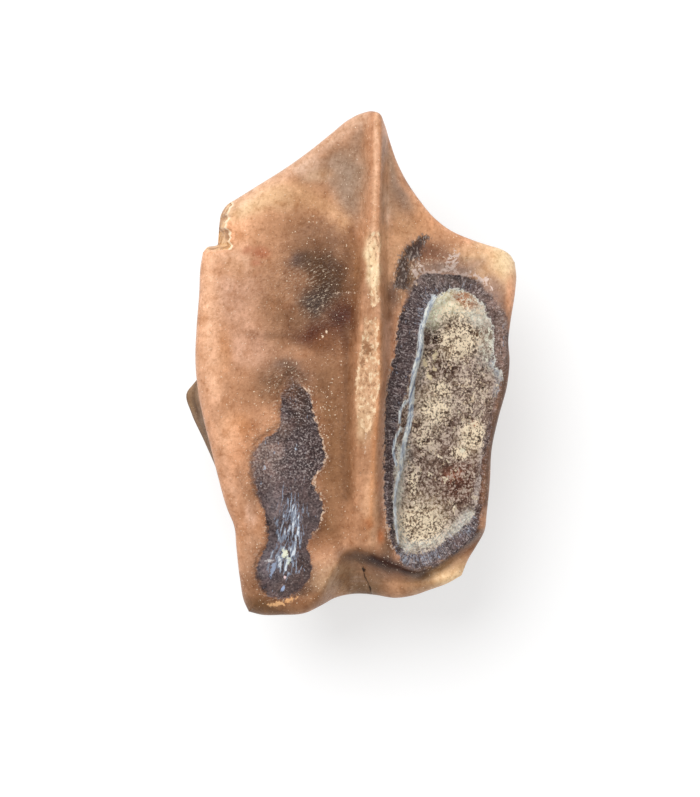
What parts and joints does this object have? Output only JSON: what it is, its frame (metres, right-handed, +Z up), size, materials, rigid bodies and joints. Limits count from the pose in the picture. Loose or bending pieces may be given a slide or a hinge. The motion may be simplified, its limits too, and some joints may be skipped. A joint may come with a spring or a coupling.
{
  "type": "fossil edmontosaurus tooth",
  "caption": "Shed fossil dinosaur tooth crown with a shield-shaped enamelled face, a median ridge and worn hollows, resting on its keeled back.",
  "frame": {"origin": "under the middle of the tooth's bounding box, on the surface it rests on", "axes": "+Z up, out of the enamelled face; +Y along the crown towards its tip; +X across it, towards the hollowed half"},
  "size_m": [0.0132, 0.0202, 0.0071],
  "materials": {
    "fossil_enamel": "satin, tan to brown with a pink cast, worn"
  },
  "bodies": {
    "root": {"tooth": "fossil_enamel"}
  },
  "joints": []
}
